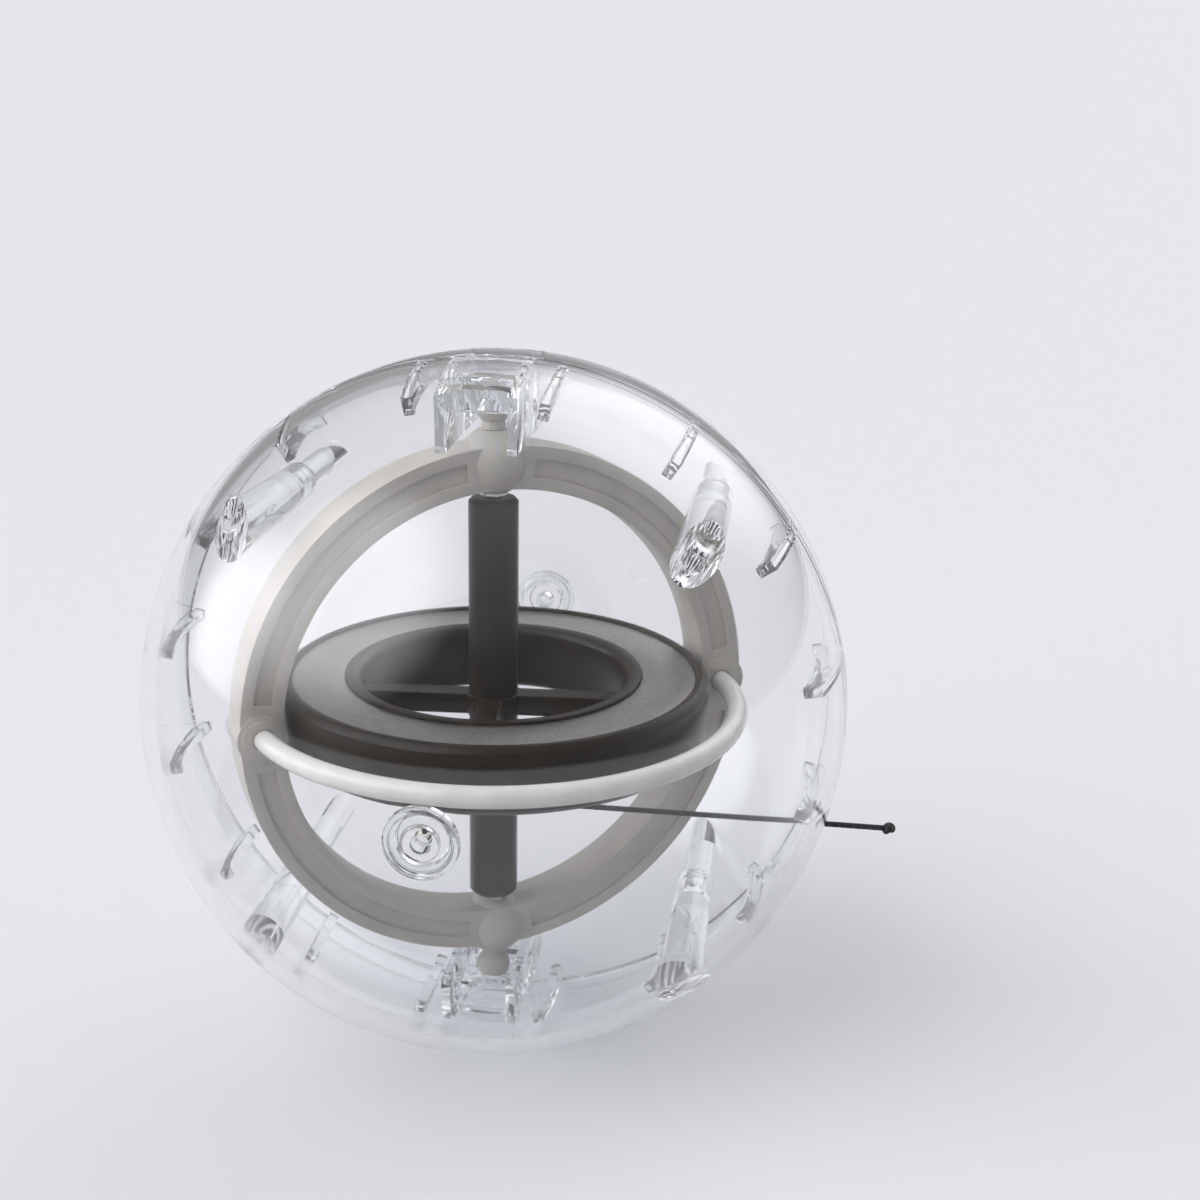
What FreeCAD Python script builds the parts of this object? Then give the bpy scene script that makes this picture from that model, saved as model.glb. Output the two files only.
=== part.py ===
import FreeCAD, Part
import Sketcher
import math
import os

# Gyroscope in a clear two-part ball.
# Frame: origin at the centre of the ball, +Z up along the spin axis of the rotor,
# -Y towards the pole of the front half ball, the seam of the ball in the plane Y = 0.
# Lengths are in millimetres and angles in degrees.

DRIVING_SIZES = {
    # clear ball: the front half has a lip that enters a rebate in the rear half
    "ball_radius": 50.0,
    "shell_wall": 2.0,
    "lip_length": 4.0,
    "lip_wall": 1.0,
    "lip_gap": 0.1,
    # gaps between parts that pass freely, turn in each other or are pressed together
    "moving_gap": 0.3,
    "running_gap": 0.06,
    "seat_gap": 0.02,
    # plugs at the two poles
    "plug_body_radius": 3.4,
    "plug_step": 1.4,
    "plug_seat_depth": 1.1,
    "plug_proud": 0.4,
    "plug_lip_width": 0.8,
    "plug_recess_depth": 0.6,
    "plug_nose_wall": 1.2,
    "plug_floor": 1.4,
    "socket_radius": 1.2,
    "socket_depth": 3.0,
    # ribs inside the front half, which guide the rear half on
    "rib_count": 16,
    "rib_thickness": 1.5,
    "rib_height": 2.0,
    "rib_front_reach": 13.0,
    "rib_tail": 1.2,
    # posts on the diagonals that join the halves
    "post_clearance": 1.1,
    "post_wall": 1.55,
    "post_draft": 0.4,
    "post_shoulder": 0.85,
    "post_joint_height": 6.0,
    "post_pin_radius": 1.25,
    "post_pin_length": 5.0,
    # cradles that hold the feet of the gyroscope
    "cradle_side": 1.6,
    "cradle_front": 2.1,
    "cradle_wall": 1.3,
    "cradle_cup": 1.3,
    "cradle_rib_pitch": 3.6,
    "cradle_rib_height": 4.2,
    "cradle_end": 1.2,
    "cradle_clearance": 1.1,
    # feet of the gyroscope
    "foot_floor": 2.9,
    "foot_radius": 2.5,
    "foot_stand": 3.1,
    "foot_shank_radius": 1.2,
    "foot_shank_length": 3.2,
    "neck_radius": 1.8,
    "neck_tip_radius": 1.5,
    # frame ring of the gyroscope
    "frame_turn": 30.5,
    "ring_width": 6.0,
    "ring_thickness": 6.5,
    "ring_edge": 0.5,
    "channel_width": 2.6,
    "channel_depth": 0.5,
    "channel_margin_angle": 8.0,
    "collar_wall": 2.0,
    "collar_proud": 0.3,
    "collar_step": 0.6,
    "collar_boss": 0.3,
    "hub_wall": 2.8,
    "hub_flat": 0.5,
    "hub_rise": 0.5,
    "hub_web": 1.9,
    # bearings in the hubs
    "bearing_wall": 0.63,
    "bearing_floor": 1.1,
    "bearing_proud": 0.35,
    "bearing_mouth_depth": 0.8,
    # guard ring round the rotor
    "guard_rod_radius": 1.5,
    "guard_end_gap": 0.2,
    # rotor
    "rotor_turn": 4.0,
    "rotor_clearance": 0.7,
    "rotor_half_height": 4.8,
    "rotor_edge": 0.9,
    "rotor_rim_wall": 1.8,
    "rotor_hub_wall": 0.5,
    "weight_width": 7.6,
    "bowl_lip_wall": 2.3,
    "bowl_rounding": 1.3,
    "web_half_height": 0.8,
    "weight_recess": 0.4,
    "spoke_width": 3.4,
    "spoke_half_height": 1.5,
    # shaft tube and steel axle
    "shaft_radius": 3.5,
    "shaft_end_gap": 0.55,
    "shaft_edge": 0.5,
    "axle_radius": 1.25,
    "axle_tip_radius": 0.15,
    "pivot_play": 0.12,
    # launch cord, pulled straight out through the seam
    "cord_radius": 0.4,
    "cord_drop": 15.5,
    "cord_outside": 6.0,
    "knot_radius": 1.1,
}

RIGHT_ANGLE = 90.0
HALF_TURN = 180.0
FULL_TURN = 360.0
DEGREES_PER_RADIAN = math.degrees(1.0)
# how far the middle of a quarter round stands from each of its two tangents
ROUND_SHARE = 1.0 - math.sqrt(0.5)
X_AXIS = FreeCAD.Vector(1, 0, 0)
Y_AXIS = FreeCAD.Vector(0, 1, 0)
Z_AXIS = FreeCAD.Vector(0, 0, 1)
ORIGIN = FreeCAD.Vector(0, 0, 0)


class Size:
    """A length or angle with the spreadsheet expression that it comes from."""

    def __init__(self, value, text):
        self.value = value
        self.text = text

    def combined(self, other, sign, result):
        text = other.text if isinstance(other, Size) else repr(float(other))
        return Size(result, "({} {} {})".format(self.text, sign, text))

    def __add__(self, other):
        return self.combined(other, "+", self.value + number(other))

    def __sub__(self, other):
        return self.combined(other, "-", self.value - number(other))

    def __mul__(self, other):
        return self.combined(other, "*", self.value * number(other))

    def __truediv__(self, other):
        return self.combined(other, "/", self.value / number(other))

    def __neg__(self):
        return Size(-self.value, "(0 - {})".format(self.text))


def number(size):
    return size.value if isinstance(size, Size) else float(size)


def plain(value):
    """A fixed number written as a size, such as the zero at an axis."""
    return Size(float(value), repr(float(value)))


ZERO = plain(0.0)


# ---------------------------------------------------------------- document and sheet
doc = FreeCAD.newDocument("gyroscope_ball")
sheet = doc.addObject("Spreadsheet::Sheet", "Sizes")
S = {}
for row, (name, value) in enumerate(DRIVING_SIZES.items(), start=1):
    cell = "A{}".format(row)
    sheet.set(cell, str(value))
    sheet.setAlias(cell, name)
    S[name] = Size(float(value), "Sizes.{}".format(name))
doc.recompute()


# ---------------------------------------------------------------- sizes that follow
shell_inner = S["ball_radius"] - S["shell_wall"]
lip_outer = shell_inner + S["lip_wall"]
rebate_radius = lip_outer + S["lip_gap"]
rebate_depth = S["lip_length"] + S["lip_gap"]

# along +Z from the wall of the ball inwards: foot, flat of the hub, ring, bearing
foot_reach = shell_inner - S["foot_floor"]
foot_height = foot_reach - S["foot_radius"]
hub_top = foot_height - S["foot_stand"]
shank_end = hub_top - S["foot_shank_length"]
bearing_end = shank_end - S["hub_web"]
bearing_radius = S["axle_radius"] + S["pivot_play"] + S["bearing_wall"]
hub_radius = bearing_radius + S["hub_wall"]
hub_centre = hub_top + S["hub_flat"] - hub_radius
ring_middle = hub_centre - S["hub_rise"]
bearing_start = hub_centre - hub_radius + S["hub_flat"] - S["bearing_proud"]
cup_floor = bearing_end - S["bearing_floor"]
shaft_half_length = bearing_start - S["shaft_end_gap"]
ring_outer = ring_middle + S["ring_width"] * 0.5
ring_inner = ring_middle - S["ring_width"] * 0.5
ring_half = S["ring_thickness"] * 0.5
collar_radius = S["guard_rod_radius"] + S["collar_wall"]
rotor_radius = ring_middle - collar_radius - S["rotor_clearance"]
weight_outer = rotor_radius - S["rotor_rim_wall"]
weight_inner = weight_outer - S["weight_width"]
bowl_radius = weight_inner - S["bowl_lip_wall"]
rotor_hub_radius = S["shaft_radius"] + S["rotor_hub_wall"]

# round the ring: posts just outside its sweep, cradles above and below its hubs
front_post_radius = S["post_pin_radius"] + S["post_wall"]
rear_post_radius = S["post_pin_radius"] + S["post_shoulder"]
post_circle_radius = ring_outer + S["post_clearance"] + front_post_radius + S["post_draft"]
cradle_start = ring_outer + S["cradle_clearance"]
cradle_half_width = S["foot_radius"] + S["cradle_side"] + S["cradle_wall"]
cradle_block = S["foot_radius"] + S["cradle_front"]
cradle_reach = cradle_block + S["cradle_rib_pitch"] * 2.0 + S["cradle_end"]

# launch cord
cord_height = -S["cord_drop"]
cord_hole_radius = S["cord_radius"] + S["moving_gap"]
cord_start = S["shaft_radius"] + S["moving_gap"]
cord_end = S["ball_radius"] + S["cord_outside"]


# ---------------------------------------------------------------- helpers
sub_parts = []


def bind(obj, prop, size):
    """Tie a property of an object to the sheet."""
    obj.setExpression(prop, size.text)


def place(obj, x=ZERO, y=ZERO, z=ZERO, axis=None, angle=ZERO):
    """Set an object's Placement, tied to the sheet."""
    rotation = FreeCAD.Rotation(axis or Z_AXIS, angle.value)
    obj.Placement = FreeCAD.Placement(FreeCAD.Vector(x.value, y.value, z.value), rotation)
    bind(obj, "Placement.Base.x", x)
    bind(obj, "Placement.Base.y", y)
    bind(obj, "Placement.Base.z", z)
    if axis:
        bind(obj, "Placement.Rotation.Angle", angle)


def keep(obj, label):
    """Name a finished sub-part."""
    obj.Label = label
    sub_parts.append(obj)


def new_body(name):
    return doc.addObject("PartDesign::Body", name)


def origin_feature(body, role):
    return [item for item in body.Origin.OriginFeatures if item.Role == role][0]


def new_sketch(body, name, plane):
    sketch = body.newObject("Sketcher::SketchObject", name)
    sketch.AttachmentSupport = [(origin_feature(body, plane), "")]
    sketch.MapMode = "FlatFace"
    return sketch


def turn_sketch(sketch, axis, angle):
    """Turn a sketch in its plane's frame; the sheet gives the angle."""
    rotation = FreeCAD.Rotation(axis, angle.value)
    sketch.AttachmentOffset = FreeCAD.Placement(ORIGIN, rotation)
    bind(sketch, "AttachmentOffset.Rotation.Angle", angle)


def constrain(sketch, kind, *arguments):
    """Add a constraint; where its last argument is a size, the sheet gives its value."""
    size = arguments[-1] if isinstance(arguments[-1], Size) else None
    numbers = [number(item) if isinstance(item, Size) else item for item in arguments]
    index = sketch.addConstraint(Sketcher.Constraint(kind, *numbers))
    if size:
        sketch.setExpression("Constraints[{}]".format(index), size.text)


def coordinate(sketch, kind, geometry, end, size):
    """Fix one coordinate of a sketch point. A zero lies on the sketch's own axis."""
    if abs(size.value) < 1e-9:
        axis = -2 if kind == "DistanceX" else -1
        constrain(sketch, "PointOnObject", geometry, end, axis)
    elif size.value > 0:
        constrain(sketch, kind, -1, 1, geometry, end, size)
    else:
        constrain(sketch, kind, geometry, end, -1, 1, -size)


def near(size):
    """A coordinate that an arc gives: the size only starts the solver near its place."""
    return (size,)


def start_value(item):
    return item[0].value if isinstance(item, tuple) else item.value


def outline(sketch, corners):
    """Draw a closed outline of lines and of arcs about the sketch's origin.

    A corner is (x, y), or (x, y, radius) where an arc of that radius starts there.
    """
    points = [FreeCAD.Vector(start_value(item[0]), start_value(item[1]), 0) for item in corners]
    edges = []
    for index, corner in enumerate(corners):
        start = points[index]
        end = points[(index + 1) % len(points)]
        if len(corner) == 2:
            edges.append((sketch.addGeometry(Part.LineSegment(start, end), False), 1, 2))
            continue
        circle = Part.Circle(ORIGIN, Z_AXIS, corner[2].value)
        first = math.atan2(start.y, start.x)
        last = math.atan2(end.y, end.x)
        arc = Part.ArcOfCircle(circle, min(first, last), max(first, last))
        ends = (1, 2) if last > first else (2, 1)
        edges.append((sketch.addGeometry(arc, False), *ends))
    for index, (edge, first, last) in enumerate(edges):
        following, next_first, next_last = edges[(index + 1) % len(edges)]
        constrain(sketch, "Coincident", edge, last, following, next_first)
    for (edge, first, last), corner in zip(edges, corners):
        if len(corner) == 3:
            constrain(sketch, "Coincident", edge, 3, -1, 1)
            constrain(sketch, "Radius", edge, corner[2])
        if not isinstance(corner[0], tuple):
            coordinate(sketch, "DistanceX", edge, first, corner[0])
        if not isinstance(corner[1], tuple):
            coordinate(sketch, "DistanceY", edge, first, corner[1])


def circle_in(sketch, x, y, radius):
    centre = FreeCAD.Vector(x.value, y.value, 0)
    mark = sketch.addGeometry(Part.Circle(centre, Z_AXIS, radius.value), False)
    coordinate(sketch, "DistanceX", mark, 3, x)
    coordinate(sketch, "DistanceY", mark, 3, y)
    constrain(sketch, "Radius", mark, radius)


def revolve(body, name, sketch, kind="Revolution", angle=None):
    """Turn a sketch about its vertical axis: by a full turn, or evenly to both sides."""
    feature = body.newObject("PartDesign::" + kind, name)
    feature.Profile = sketch
    feature.ReferenceAxis = (sketch, ["V_Axis"])
    feature.Angle = FULL_TURN
    if angle:
        feature.Midplane = True
        feature.Angle = angle.value
        bind(feature, "Angle", angle)
    return feature


def extrude(body, name, sketch, kind, length, midplane=False):
    """Pad or pocket a sketch by a length from the sheet."""
    feature = body.newObject("PartDesign::" + kind, name)
    feature.Profile = sketch
    feature.Midplane = midplane
    feature.Length = length.value
    bind(feature, "Length", length)
    return feature


def polar(body, name, feature, axis_role, count):
    """Repeat a feature evenly about one of the body's axes."""
    pattern = body.newObject("PartDesign::PolarPattern", name)
    pattern.Originals = [feature]
    pattern.Axis = (origin_feature(body, axis_role), [""])
    pattern.Angle = FULL_TURN
    pattern.Occurrences = int(count.value)
    bind(pattern, "Occurrences", count)
    body.Tip = pattern


def turned_part(name, label, plane, corners):
    """A body that is one outline turned about its axis."""
    body = new_body(name)
    profile = new_sketch(body, name + "_profile", plane)
    outline(profile, corners)
    revolve(body, name + "_turned", profile)
    keep(body, label)
    return body


def solid(kind, name, **sizes):
    """A Part primitive with its sizes tied to the sheet."""
    obj = doc.addObject("Part::" + kind, name)
    for prop, size in sizes.items():
        setattr(obj, prop, size.value)
        bind(obj, prop, size)
    return obj


def fuse(name, shapes):
    obj = doc.addObject("Part::MultiFuse", name)
    obj.Shapes = shapes
    return obj


def combine(kind, name, base, tool):
    obj = doc.addObject("Part::" + kind, name)
    obj.Base = base
    obj.Tool = tool
    return obj


# ---------------------------------------------------------------- clear half balls
def pole_corners(side):
    """The stepped hole at a pole, from the inner wall outwards; side is -1 or 1."""
    seat = S["ball_radius"] - S["plug_seat_depth"]
    body_radius = S["plug_body_radius"] + S["seat_gap"]
    flange_radius = S["plug_body_radius"] + S["plug_step"] + S["seat_gap"]
    return [
        (body_radius, near(shell_inner * side)),
        (body_radius, seat * side),
        (flange_radius, seat * side),
        (flange_radius, near(S["ball_radius"] * side), S["ball_radius"]),
    ]


def cord_hole(body, name):
    """A round hole along +X through the wall at the seam, for the launch cord."""
    sketch = new_sketch(body, name + "_sketch", "YZ_Plane")
    circle_in(sketch, ZERO, cord_height, cord_hole_radius)
    pocket = extrude(body, name, sketch, "Pocket", S["ball_radius"])
    pocket.Reversed = True
    body.Tip = pocket


def front_shell():
    """The front half ball with its lip and the ribs that guide the rear half on."""
    body = new_body("FrontShell")
    profile = new_sketch(body, "front_profile", "XY_Plane")
    corners = pole_corners(-1)
    corners.append((near(S["ball_radius"]), ZERO))
    corners.append((near(lip_outer), ZERO, lip_outer))
    corners.append((near(lip_outer), S["lip_length"]))
    corners.append((near(shell_inner), S["lip_length"], shell_inner))
    outline(profile, corners)
    revolve(body, "front_wall", profile)

    # the rib's root lies inside the wall; past the lip it keeps clear of the rear half
    rib = new_sketch(body, "rib_profile", "XY_Plane")
    bury = S["lip_wall"] * 0.5
    inner = shell_inner - S["rib_height"]
    root = shell_inner + bury
    root_end = S["lip_length"] - bury
    clear = shell_inner - S["moving_gap"]
    tail = S["lip_length"] + S["rib_tail"]
    corners = [
        (near(inner), -S["rib_front_reach"]),
        (near(root), -S["rib_front_reach"], root),
        (near(root), root_end),
        (near(clear), root_end, clear),
        (near(clear), tail),
        (near(inner), tail, inner),
    ]
    outline(rib, corners)
    turn_sketch(rib, Y_AXIS, plain(HALF_TURN) / S["rib_count"])
    rib_angle = S["rib_thickness"] / shell_inner * DEGREES_PER_RADIAN
    feature = revolve(body, "rib", rib, angle=rib_angle)
    polar(body, "ribs", feature, "Y_Axis", S["rib_count"])

    # the cord's hole runs on as a slot through the lip, so that the half ball can slide off
    slot = new_sketch(body, "cord_slot_sketch", "YZ_Plane")
    low = cord_height - cord_hole_radius
    high = cord_height + cord_hole_radius
    outline(slot, [(ZERO, low), (rebate_depth, low), (rebate_depth, high), (ZERO, high)])
    extrude(body, "cord_slot", slot, "Pocket", S["ball_radius"]).Reversed = True
    cord_hole(body, "front_cord_hole")
    keep(body, "front_shell")


def rear_shell():
    """The rear half ball with the rebate that takes the front half's lip."""
    body = new_body("RearShell")
    profile = new_sketch(body, "rear_profile", "XY_Plane")
    corners = pole_corners(1)
    corners.append((near(S["ball_radius"]), ZERO))
    corners.append((near(rebate_radius), ZERO, rebate_radius))
    corners.append((near(rebate_radius), rebate_depth))
    corners.append((near(shell_inner), rebate_depth, shell_inner))
    outline(profile, corners)
    revolve(body, "rear_wall", profile)
    cord_hole(body, "rear_cord_hole")
    keep(body, "rear_shell")


def pole_plug(name, label, turn):
    """A stepped round plug with a blind socket; turned half round Z for the front pole."""
    flange = S["plug_body_radius"] + S["plug_step"]
    nose = S["socket_radius"] + S["plug_nose_wall"]
    lip_inner = flange - S["plug_lip_width"]
    seat = S["ball_radius"] - S["plug_seat_depth"]
    top = S["ball_radius"] + S["plug_proud"]
    recess = top - S["plug_recess_depth"]
    floor = top - S["socket_depth"]
    inner_end = floor - S["plug_floor"]
    corners = [
        (ZERO, inner_end),
        (S["plug_body_radius"], inner_end),
        (S["plug_body_radius"], seat),
        (flange, seat),
        (flange, top),
        (lip_inner, top),
        (lip_inner, recess),
        (nose, recess),
        (nose, top),
        (S["socket_radius"], top),
        (S["socket_radius"], floor),
        (ZERO, floor),
    ]
    body = turned_part(name, label, "XY_Plane", corners)
    place(body, axis=Z_AXIS, angle=plain(turn))


# ---------------------------------------------------------------- posts between the halves
POST_QUARTERS = {"upper_right": 0, "upper_left": 1, "lower_left": 2, "lower_right": 3}


def post_piece(kind, name, quarter, start, **sizes):
    """A round solid that runs along +Y from start, on one diagonal of the ball."""
    angle = math.radians(RIGHT_ANGLE * (quarter + 0.5))
    obj = solid(kind, name, **sizes)
    x = post_circle_radius * math.cos(angle)
    z = post_circle_radius * math.sin(angle)
    place(obj, x, start, z, axis=X_AXIS, angle=plain(-RIGHT_ANGLE))
    return obj


def front_post(side, quarter):
    """A tapered post with a socket, which ends on the wall of the front half."""
    name = "front_{}_".format(side)
    cone = post_piece(
        "Cone",
        name + "cone",
        quarter,
        -S["ball_radius"],
        Radius1=front_post_radius + S["post_draft"],
        Radius2=front_post_radius,
        Height=S["ball_radius"] + S["post_joint_height"],
    )
    socket = post_piece(
        "Cylinder",
        name + "socket",
        quarter,
        S["post_joint_height"] - S["post_pin_length"] - S["moving_gap"],
        Radius=S["post_pin_radius"] + S["running_gap"],
        Height=S["ball_radius"],
    )
    ball = solid("Sphere", name + "limit", Radius=shell_inner)
    trimmed = combine("Common", name + "trimmed", cone, ball)
    keep(combine("Cut", name + "cut", trimmed, socket), "front_{}_post".format(side))


def rear_post(side, quarter):
    """A post with a pin, which ends on the wall of the rear half."""
    name = "rear_{}_".format(side)
    post = post_piece(
        "Cylinder",
        name + "shoulder",
        quarter,
        S["post_joint_height"],
        Radius=rear_post_radius,
        Height=S["ball_radius"],
    )
    pin = post_piece(
        "Cylinder",
        name + "pin",
        quarter,
        S["post_joint_height"] - S["post_pin_length"],
        Radius=S["post_pin_radius"],
        Height=S["post_pin_length"] * 2.0,
    )
    ball = solid("Sphere", name + "limit", Radius=shell_inner)
    whole = fuse(name + "whole", [post, pin])
    keep(combine("Common", name + "trimmed", whole, ball), "rear_{}_post".format(side))


# ---------------------------------------------------------------- cradles for the feet
def slab(name, width, reach, height, x, y, z):
    """A block with its lowest corner at x, y, z."""
    obj = solid("Box", name, Length=width, Width=reach, Height=height)
    place(obj, x, y, z)
    return obj


def cradle(name, label, rear, upper):
    """One half of the cup for one foot: low block, two side walls and cross ribs.

    It is made at the bottom of the front half and then turned to its own place.
    """
    low = -S["ball_radius"]
    half = cradle_half_width
    wall = S["cradle_wall"]
    inside = (half - wall) * 2.0
    depth = S["ball_radius"] - cradle_start
    block_low = -foot_reach - wall
    block_height = S["cradle_cup"] + wall
    back_height = S["ball_radius"] - foot_reach
    back_start = -wall - S["moving_gap"]
    rib_height = S["shell_wall"] + S["cradle_rib_height"]
    pieces = [
        slab(name + "_left", wall, cradle_reach, depth, -half, -cradle_reach, low),
        slab(name + "_right", wall, cradle_reach, depth, half - wall, -cradle_reach, low),
        slab(name + "_block", half * 2.0, cradle_block, block_height, -half, -cradle_block, block_low),
        slab(name + "_back", inside, wall, back_height, wall - half, back_start, low),
    ]
    for step in (1, 2):
        rib_start = -cradle_block - S["cradle_rib_pitch"] * step
        rib_name = "{}_rib_{}".format(name, step)
        pieces.append(slab(rib_name, inside, wall, rib_height, wall - half, rib_start, low))
    foot = solid("Sphere", name + "_foot", Radius=S["foot_radius"] + S["running_gap"])
    place(foot, z=-foot_height)
    open_block = combine("Cut", name + "_open", fuse(name + "_pieces", pieces), foot)
    ball = solid("Sphere", name + "_limit", Radius=shell_inner)
    result = combine("Common", name, open_block, ball)
    if rear:
        # the rear half's cradle keeps clear of the front half's lip
        band = solid("Cylinder", name + "_band", Radius=S["ball_radius"], Height=rebate_depth)
        place(band, axis=X_AXIS, angle=plain(RIGHT_ANGLE))
        core = solid("Sphere", name + "_core", Radius=shell_inner - S["moving_gap"])
        relief = combine("Cut", name + "_relief", band, core)
        result = combine("Cut", name + "_relieved", result, relief)
    turns = {(True, True): X_AXIS, (False, True): Y_AXIS, (True, False): Z_AXIS}
    if (rear, upper) in turns:
        place(result, axis=turns[(rear, upper)], angle=plain(HALF_TURN))
    keep(result, label)


# ---------------------------------------------------------------- frame of the gyroscope
def frame_ring():
    """The upright ring with hub balls, side collars and shallow channels in its faces."""
    body = new_body("FrameRing")
    gap = S["seat_gap"]
    edge = S["ring_edge"]
    section = new_sketch(body, "ring_section", "XY_Plane")
    corners = [
        (ring_inner + edge, -ring_half),
        (ring_outer - edge, -ring_half),
        (ring_outer, edge - ring_half),
        (ring_outer, ring_half - edge),
        (ring_outer - edge, ring_half),
        (ring_inner + edge, ring_half),
        (ring_inner, ring_half - edge),
        (ring_inner, edge - ring_half),
    ]
    outline(section, corners)
    revolve(body, "ring", section)

    # each collar rises from the ring's faces in two steps
    boss_radius = collar_radius - S["collar_step"]
    boss_proud = S["collar_proud"] + S["collar_boss"]
    steps = (("collar", collar_radius, S["collar_proud"]), ("boss", boss_radius, boss_proud))
    for name, radius, proud in steps:
        sketch = new_sketch(body, name + "_sketch", "XZ_Plane")
        circle_in(sketch, ring_middle, ZERO, radius)
        length = S["ring_thickness"] + proud * 2.0
        feature = extrude(body, name, sketch, "Pad", length, midplane=True)
        polar(body, name + "s", feature, "Y_Axis", plain(2))

    # half a disc on the sketch's vertical axis; its centre stands outside the ring's middle
    hub = new_sketch(body, "hub_sketch", "XZ_Plane")
    centre = FreeCAD.Vector(0, hub_centre.value, 0)
    disc = Part.Circle(centre, Z_AXIS, hub_radius.value)
    arc = hub.addGeometry(Part.ArcOfCircle(disc, -math.pi / 2, math.pi / 2), False)
    top = centre + FreeCAD.Vector(0, hub_radius.value, 0)
    bottom = centre - FreeCAD.Vector(0, hub_radius.value, 0)
    line = hub.addGeometry(Part.LineSegment(top, bottom), False)
    constrain(hub, "Coincident", arc, 2, line, 1)
    constrain(hub, "Coincident", line, 2, arc, 1)
    for point in (1, 2, 3):
        constrain(hub, "PointOnObject", arc, point, -2)
    coordinate(hub, "DistanceY", arc, 3, hub_centre)
    constrain(hub, "Radius", arc, hub_radius)
    polar(body, "hubs", revolve(body, "hub", hub), "Y_Axis", plain(2))

    # bore for the bearing from inside the ring, then the flat and bore for the foot
    bore = new_sketch(body, "bearing_bore_sketch", "XZ_Plane")
    bore_radius = bearing_radius + gap
    bore_start = bearing_start - S["bearing_proud"]
    bore_end = bearing_end + gap
    corners = [
        (ZERO, bore_start),
        (bore_radius, bore_start),
        (bore_radius, bore_end),
        (ZERO, bore_end),
    ]
    outline(bore, corners)
    polar(body, "bearing_bores", revolve(body, "bearing_bore", bore, "Groove"), "Y_Axis", plain(2))

    shank = new_sketch(body, "foot_bore_sketch", "XZ_Plane")
    shank_radius = S["foot_shank_radius"] + gap
    above = hub_top + hub_radius
    corners = [
        (ZERO, shank_end - gap),
        (shank_radius, shank_end - gap),
        (shank_radius, hub_top),
        (hub_radius, hub_top),
        (hub_radius, above),
        (ZERO, above),
    ]
    outline(shank, corners)
    polar(body, "foot_bores", revolve(body, "foot_bore", shank, "Groove"), "Y_Axis", plain(2))

    guard = new_sketch(body, "guard_bore_sketch", "XZ_Plane")
    circle_in(guard, ring_middle, ZERO, S["guard_rod_radius"] + gap)
    revolve(body, "guard_bore", guard, "Groove")

    channel = new_sketch(body, "channel_section", "XY_Plane")
    inner = ring_middle - S["channel_width"] * 0.5
    outer = ring_middle + S["channel_width"] * 0.5
    floor = ring_half - S["channel_depth"]
    above = ring_half + boss_proud
    for side in (1.0, -1.0):
        corners = [
            (inner, floor * side),
            (outer, floor * side),
            (outer, above * side),
            (inner, above * side),
        ]
        outline(channel, corners)
    turn_sketch(channel, Y_AXIS, plain(RIGHT_ANGLE / 2))
    channel_angle = plain(RIGHT_ANGLE) - S["channel_margin_angle"] * 2.0
    groove = revolve(body, "channel", channel, "Groove", angle=channel_angle)
    polar(body, "channels", groove, "Y_Axis", plain(4))
    place(body, axis=Z_AXIS, angle=S["frame_turn"])
    keep(body, "frame_ring")


def foot(name, label, turn):
    """A turned foot: shank in the hub, tapered neck, and a ball that sits in the cradles."""
    neck_end = foot_height - S["foot_radius"] * 0.5
    corners = [
        (ZERO, shank_end),
        (S["foot_shank_radius"], shank_end),
        (S["foot_shank_radius"], hub_top),
        (S["neck_radius"], hub_top),
        (S["neck_tip_radius"], neck_end),
        (ZERO, neck_end),
    ]
    body = turned_part(name, label, "XZ_Plane", corners)
    ball = body.newObject("PartDesign::AdditiveSphere", name + "_ball")
    ball.AttachmentSupport = [(origin_feature(body, "XY_Plane"), "")]
    ball.MapMode = "FlatFace"
    ball.Radius = S["foot_radius"].value
    bind(ball, "Radius", S["foot_radius"])
    ball.AttachmentOffset.Base.z = foot_height.value
    bind(ball, "AttachmentOffset.Base.z", foot_height)
    place(body, axis=X_AXIS, angle=plain(turn))


def bearing(name, label, turn):
    """A cup pressed into the hub, with a cone that takes the point of the axle."""
    mouth = S["axle_radius"] + S["pivot_play"]
    corners = [
        (mouth, bearing_start),
        (bearing_radius, bearing_start),
        (bearing_radius, bearing_end),
        (ZERO, bearing_end),
        (ZERO, cup_floor),
        (S["axle_tip_radius"], cup_floor),
        (mouth, bearing_start + S["bearing_mouth_depth"]),
    ]
    body = turned_part(name, label, "XZ_Plane", corners)
    place(body, axis=X_AXIS, angle=plain(turn))


def guard_rod(name, label, turn):
    """Half of the round rod that guards the rotor; its ends sit in the collars."""
    obj = solid("Torus", name, Radius1=ring_middle, Radius2=S["guard_rod_radius"])
    end_angle = S["guard_end_gap"] / ring_middle * DEGREES_PER_RADIAN
    span = plain(HALF_TURN) - end_angle * 2.0
    obj.Angle3 = span.value
    bind(obj, "Angle3", span)
    place(obj, axis=Z_AXIS, angle=S["frame_turn"] + end_angle + turn)
    keep(obj, label)


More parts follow.
